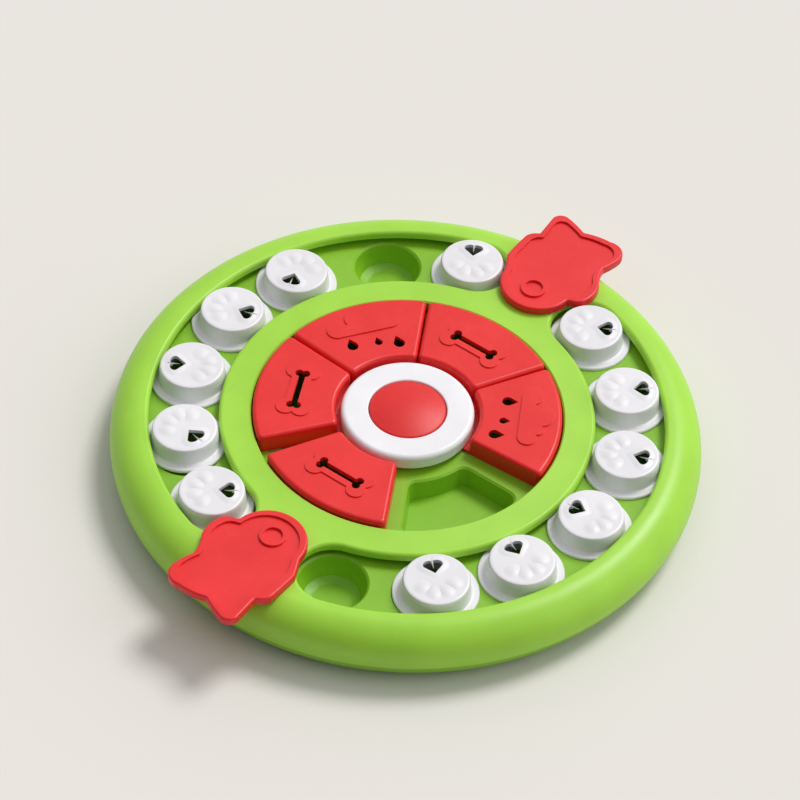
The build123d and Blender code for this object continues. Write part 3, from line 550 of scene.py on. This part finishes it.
def is_joint(face):
    """Whether a face lies in an upright plane through the axis, as the joints between two sectors do."""
    upright = abs(face.normal.z) < UPRIGHT_SLACK
    return upright and all(abs(face.normal.dot(vert.co)) < JOINT_SLACK for vert in face.verts)


def moulding(name, nodes, width):
    """The sectors of one moulding joined again, without the joints between them."""
    form = bmesh.new()
    for node in nodes:
        part = bmesh.new()
        part.from_mesh(frame["nodes"][node].data)
        tidy_form(part)
        joints = [face for face in part.faces if is_joint(face)]
        if len(nodes) > 1 and len(joints) < 2:
            raise ValueError(f"{node} has no joint on each side")
        bmesh.ops.delete(part, geom=joints, context="FACES")
        mesh = bpy.data.meshes.new(node)
        part.to_mesh(mesh)
        part.free()
        form.from_mesh(mesh)
        bpy.data.meshes.remove(mesh)
    tidy_form(form)
    smooth_by_angle(form, SMOOTH_ANGLE)
    mesh = bpy.data.meshes.new(name)
    form.to_mesh(mesh)
    form.free()
    piece = add_piece(name, mesh, body_of_node(nodes[0]), slot_of_node(nodes[0]))
    soften(piece, width)
    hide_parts(*nodes)
    return piece


def nodes_named(start):
    """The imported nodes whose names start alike."""
    return [node for node in frame["nodes"] if node.startswith(start)]


def middle_of(node):
    """The middle of a node's box."""
    low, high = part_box(node)
    return (low + high) / 2


def near_axis(vert, middle):
    """Whether a corner belongs to a cup's heart hole, by its distance from the cup's axis."""
    return hypot(vert.co.x - middle.x, vert.co.y - middle.y) < HEART_REACH


def rim_walk(form, middle, top):
    """The corners of a cup's heart hole on the cup's top, in order round it."""
    following = {}
    for face in form.faces:
        if abs(face.normal.z) > UPRIGHT_SLACK:
            continue
        for loop in face.loops:
            pair = (loop.vert, loop.link_loop_next.vert)
            on_top = all(abs(vert.co.z - top) < MERGE_DISTANCE for vert in pair)
            if on_top and all(near_axis(vert, middle) for vert in pair):
                following[pair[0]] = pair[1]
    walk = [next(iter(following))]
    while following[walk[-1]] != walk[0]:
        walk.append(following[walk[-1]])
    if len(walk) != len(following):
        raise ValueError("a heart hole's rim is not one closed line")
    return walk


def widen_heart(form, node):
    """Draws a cup's heart hole to its full width and shallow notch; gives its middle, heading and rim."""
    middle = middle_of(node)
    rim = rim_walk(form, middle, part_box(node)[1].z)
    centre = sum((vert.co for vert in rim), Vector()) / len(rim)
    along = Vector((centre.x - middle.x, centre.y - middle.y, 0)).normalized()
    across = TOP.cross(along)
    for vert in form.verts:
        if near_axis(vert, middle):
            sideways = (vert.co - centre).dot(across)
            nearness = 1 - abs(sideways) / NOTCH_HALF_WIDTH
            if nearness > 0 and (vert.co - centre).dot(along) > 0:
                vert.co += along * NOTCH_LIFT * nearness
            vert.co += across * sideways * (HEART_WIDENING - 1)
    return centre, along, [vert.co.copy() for vert in rim]


def soft_hump(share):
    """The height of a softly blended pad, from 1 in its middle to 0 at its edge."""
    return (1 - share**2) ** 2


def add_toe_pad(form, length, width, rise, place):
    """One low oval pad that blends into the cup's top, added to a bmesh."""
    shares = [step / PAD_STEPS for step in range(PAD_STEPS + 1)]
    line = [form.verts.new((share / 2, 0, soft_hump(share) - PAD_SINK)) for share in shares]
    edges = [form.edges.new(pair) for pair in zip(line, line[1:])]
    before = set(form.verts) - set(line)
    bmesh.ops.spin(
        form, geom=[*line, *edges], axis=TOP, cent=Vector(), dvec=Vector(), angle=2 * pi,
        steps=PAD_SIDES, use_merge=True, use_duplicate=False,
    )
    made = [vert for vert in form.verts if vert not in before]
    bmesh.ops.remove_doubles(form, verts=made, dist=PAD_MERGE)
    made = [vert for vert in form.verts if vert not in before]
    bmesh.ops.transform(form, matrix=place @ Matrix.Diagonal((length, width, rise, 1)), verts=made)


def add_palm_pad(form, centre, points, width, rise):
    """The low pad round a heart hole, highest beside the hole and blending outwards into the cup's top."""
    loops = []
    for step in range(PAD_STEPS + 1):
        share = step / PAD_STEPS
        height = rise * (soft_hump(share) - PAD_SINK)
        loops.append([form.verts.new(outwards(point, centre, share * width, height)) for point in points])
    count = len(points)
    for inner, outer in zip(loops, loops[1:]):
        for i in range(count):
            form.faces.new((inner[i], outer[i], outer[(i + 1) % count], inner[(i + 1) % count]))
    below = [form.verts.new(outwards(point, centre, PAD_TUCK, -rise)) for point in points]
    for i in range(count):
        form.faces.new((below[i], loops[0][i], loops[0][(i + 1) % count], below[(i + 1) % count]))


def outwards(point, centre, distance, height):
    """A point moved away from a centre and upwards."""
    away = Vector((point.x - centre.x, point.y - centre.y, 0)).normalized()
    return point + away * distance + TOP * height


def dress_cup(node):
    """One cup with its heart, the low pad round the heart and the four toe pads opposite."""
    sizes = bpy.context.scene.feeder_sizes
    middle = middle_of(node)
    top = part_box(node)[1].z
    cup = dress_node(node, sizes.cup_edge)
    form = bmesh.new()
    form.from_mesh(cup.data)
    centre, along, points = widen_heart(form, node)
    form.to_mesh(cup.data)
    form.free()
    form = bmesh.new()
    back = atan2(-along.y, -along.x)
    for turn in TOE_TURNS:
        direction = back + turn
        reach = Vector((cos(direction), sin(direction), 0)) * sizes.toe_reach
        place = Vector((middle.x, middle.y, top)) + reach
        matrix = Matrix.Translation(place) @ Matrix.Rotation(direction, 4, "Z")
        add_toe_pad(form, sizes.toe_length, sizes.toe_width, sizes.toe_rise, matrix)
    add_palm_pad(form, centre, points, sizes.palm_width, sizes.palm_rise)
    bmesh.ops.recalc_face_normals(form, faces=form.faces)
    smooth_by_angle(form, PAW_SMOOTH_ANGLE)
    mesh = bpy.data.meshes.new(f"{node}_paw")
    form.to_mesh(mesh)
    form.free()
    return add_piece(f"{node}_paw", mesh, body_of_node(node), slot_of_node(node))


class FEEDER_OT_tray(bpy.types.Operator):
    """Finish the tray, its bowls and pockets, and its pads"""

    bl_idname = "feeder.tray"
    bl_label = "Tray"

    def execute(self, context):
        edge = context.scene.feeder_sizes.cover_edge
        dress_node("base_tray", edge)
        dress_node("tray_hub", edge)
        moulding("tray_floor", nodes_named("treat_"), edge)
        dress_node("foot_pads", context.scene.feeder_sizes.pad_edge)
        return {"FINISHED"}


class FEEDER_OT_cover(bpy.types.Operator):
    """Finish the cover with its rim, ring and channels"""

    bl_idname = "feeder.cover"
    bl_label = "Cover"

    def execute(self, context):
        moulding("cover_form", nodes_named("top_cover"), context.scene.feeder_sizes.cover_edge)
        return {"FINISHED"}


class FEEDER_OT_cups(bpy.types.Operator):
    """Finish the sliding cups and raise their paw pads"""

    bl_idname = "feeder.cups"
    bl_label = "Sliding cups"

    def execute(self, context):
        for node in CUPS:
            dress_cup(node)
        return {"FINISHED"}


class FEEDER_OT_lids(bpy.types.Operator):
    """Finish the sector lids"""

    bl_idname = "feeder.lids"
    bl_label = "Sector lids"

    def execute(self, context):
        for node in LIDS:
            dress_node(node, context.scene.feeder_sizes.lid_edge)
        return {"FINISHED"}


class FEEDER_OT_hub(bpy.types.Operator):
    """Finish the hub cap, its button and the squeaker"""

    bl_idname = "feeder.hub"
    bl_label = "Hub and squeaker"

    def execute(self, context):
        edge = context.scene.feeder_sizes.lid_edge
        dress_node("hub_cap", edge)
        dress_node("squeaker_button", edge)
        dress_node("squeaker_bulb", BULB_EDGE, limit=BULB_SMOOTH_ANGLE)
        dress_node("squeaker_reed", SMALL_EDGE)
        return {"FINISHED"}


class FEEDER_OT_fish(bpy.types.Operator):
    """Finish the two fish lids"""

    bl_idname = "feeder.fish"
    bl_label = "Fish lids"

    def execute(self, context):
        for name in FISH:
            dress_node(f"fish_lid_{name}", context.scene.feeder_sizes.lid_edge)
            dress_node(f"fish_washer_{name}", SMALL_EDGE)
        return {"FINISHED"}


class FEEDER_OT_screws(bpy.types.Operator):
    """Finish the screws"""

    bl_idname = "feeder.screws"
    bl_label = "Screws"

    def execute(self, context):
        for node in SCREWS:
            dress_node(node, SCREW_EDGE)
        return {"FINISHED"}


# Stage

CAMERA_DISTANCE = 1.9357
CAMERA_HEIGHT = radians(47.656)
CAMERA_ROLL = radians(3.443)
CAMERA_TURN = radians(34.2)
CAMERA_LENS = 150.33
CAMERA_SHIFT = (-0.00619, 0.06972)
CAMERA_SENSOR = 36.0
CAMERA_NEAR = 0.05
CAMERA_FAR = 40.0
FLOOR_HALF = 4.0
FLOOR_PATCHES = 6.0
FLOOR_SHADE = 0.985  # of the floor's darker patches
FLOOR_ROUGHNESS = 0.9
FLOOR_SHEEN = 0.2
WARM_WHITE = (1.0, 0.985, 0.965)
PLAIN_WHITE = (1.0, 1.0, 1.0)
KEY_SPREAD = radians(22)
SIDE_SPREAD = radians(45)
SIDE_TURN = radians(-12)
SIDE_HEIGHT = radians(32)
BACKDROP_TURN = radians(72)
BACKDROP_HEIGHT = radians(42)
BACKDROP_START = -0.5


def add_camera():
    """The camera, turned about the axis and rolled a little."""
    place = Vector((0, -cos(CAMERA_HEIGHT), sin(CAMERA_HEIGHT))) * CAMERA_DISTANCE
    ahead = -place.normalized()
    right = Vector((1, 0, 0))
    up = right.cross(ahead)
    rolled_right = cos(CAMERA_ROLL) * right + sin(CAMERA_ROLL) * up
    rolled_up = -sin(CAMERA_ROLL) * right + cos(CAMERA_ROLL) * up
    turn = Matrix((rolled_right, rolled_up, -ahead)).transposed().to_4x4()
    data = bpy.data.cameras.new("camera")
    data.lens = CAMERA_LENS
    data.sensor_width = CAMERA_SENSOR
    data.shift_x, data.shift_y = CAMERA_SHIFT
    data.clip_start = CAMERA_NEAR
    data.clip_end = CAMERA_FAR
    camera = bpy.data.objects.new("camera", data)
    camera.matrix_world = Matrix.Rotation(CAMERA_TURN, 4, "Z") @ Matrix.Translation(place) @ turn
    bpy.context.scene.collection.objects.link(camera)
    bpy.context.scene.camera = camera


def direction_from_camera(turn, height):
    """A direction at a turn from the camera's right towards behind, and at a height above the floor."""
    azimuth = turn + CAMERA_TURN
    return Vector((cos(height) * cos(azimuth), cos(height) * sin(azimuth), sin(height)))


def add_sun(name, strength, spread_angle, turn, height, colour):
    """A distant light."""
    data = bpy.data.lights.new(name, "SUN")
    data.energy = strength
    data.angle = spread_angle
    data.color = colour
    lamp = bpy.data.objects.new(name, data)
    lamp.rotation_euler = direction_from_camera(turn, height).to_track_quat("Z", "Y").to_euler()
    bpy.context.scene.collection.objects.link(lamp)


def add_floor(colour):
    """A plain pale floor that keeps the object's shadow."""
    form = bmesh.new()
    bmesh.ops.create_grid(form, x_segments=1, y_segments=1, size=FLOOR_HALF)
    mesh = bpy.data.meshes.new("floor")
    form.to_mesh(mesh)
    form.free()
    floor = bpy.data.objects.new("floor", mesh)
    bpy.context.scene.collection.objects.link(floor)
    material, tree, shader, coordinates = blank_material("floor_pale")
    soft = noise(tree, coordinates, FLOOR_PATCHES)
    join(tree, mixed(tree, soft, shade(colour, FLOOR_SHADE), colour), shader.inputs["Base Color"])
    shader.inputs["Roughness"].default_value = FLOOR_ROUGHNESS
    shader.inputs["Specular IOR Level"].default_value = FLOOR_SHEEN
    mesh.materials.append(material)


def add_world(front, back):
    """Soft light from all round, brightest from behind on the right."""
    world = bpy.data.worlds.new("studio")
    world.use_nodes = True
    bpy.context.scene.world = world
    tree = world.node_tree
    background = tree.nodes["Background"]
    direction = tree.nodes.new("ShaderNodeTexCoord").outputs["Generated"]
    towards = tree.nodes.new("ShaderNodeVectorMath")
    towards.operation = "DOT_PRODUCT"
    towards.inputs[1].default_value = direction_from_camera(BACKDROP_TURN, BACKDROP_HEIGHT)
    join(tree, direction, towards.inputs[0])
    brightness = spread(tree, towards.outputs["Value"], BACKDROP_START, 1, front, back)
    join(tree, brightness, background.inputs["Strength"])
    background.inputs["Color"].default_value = (*PLAIN_WHITE, 1)


class FEEDER_OT_stage(bpy.types.Operator):
    """Set the floor, the lights and the camera"""

    bl_idname = "feeder.stage"
    bl_label = "Stage"

    def execute(self, context):
        studio = context.scene.feeder_studio
        add_camera()
        add_floor(tuple(studio.floor))
        add_world(studio.front, studio.back)
        add_sun("key", studio.key, KEY_SPREAD, studio.key_turn, studio.key_height, WARM_WHITE)
        add_sun("side", studio.side, SIDE_SPREAD, SIDE_TURN, SIDE_HEIGHT, PLAIN_WHITE)
        context.scene.view_settings.view_transform = "Standard"
        return {"FINISHED"}


class FEEDER_PT_panel(bpy.types.Panel):
    """The feeder's pieces, colours and studio"""

    bl_label = "Puzzle feeder"
    bl_idname = "FEEDER_PT_panel"
    bl_space_type = "VIEW_3D"
    bl_region_type = "UI"
    bl_category = "Feeder"

    def draw(self, context):
        for operator in OPERATORS:
            self.layout.operator(operator.bl_idname)
        for group_name in GROUPS:
            group = getattr(context.scene, group_name)
            box = self.layout.box()
            for name in group.__annotations__:
                box.prop(group, name)


OPERATORS = (
    FEEDER_OT_tray,
    FEEDER_OT_cover,
    FEEDER_OT_cups,
    FEEDER_OT_lids,
    FEEDER_OT_hub,
    FEEDER_OT_fish,
    FEEDER_OT_screws,
    FEEDER_OT_stage,
)
GROUPS = {
    "feeder_colours": FeederColours,
    "feeder_sizes": FeederSizes,
    "feeder_studio": FeederStudio,
}


def register():
    """Makes Blender know the groups, the operators and the panel."""
    for group in GROUPS.values():
        bpy.utils.register_class(group)
    for name, group in GROUPS.items():
        setattr(bpy.types.Scene, name, bpy.props.PointerProperty(type=group))
    for operator in OPERATORS:
        bpy.utils.register_class(operator)
    bpy.utils.register_class(FEEDER_PT_panel)


def unregister():
    """Takes them out again, last made first."""
    bpy.utils.unregister_class(FEEDER_PT_panel)
    for operator in reversed(OPERATORS):
        bpy.utils.unregister_class(operator)
    for name in GROUPS:
        delattr(bpy.types.Scene, name)
    for group in reversed(GROUPS.values()):
        bpy.utils.unregister_class(group)


def main():
    """Registers the classes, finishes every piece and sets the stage."""
    register()
    grain_group()
    marks_group()
    brushed_group()
    bpy.ops.feeder.tray()
    bpy.ops.feeder.cover()
    bpy.ops.feeder.cups()
    bpy.ops.feeder.lids()
    bpy.ops.feeder.hub()
    bpy.ops.feeder.fish()
    bpy.ops.feeder.screws()
    bpy.ops.feeder.stage()


if __name__ == "__main__":
    main()
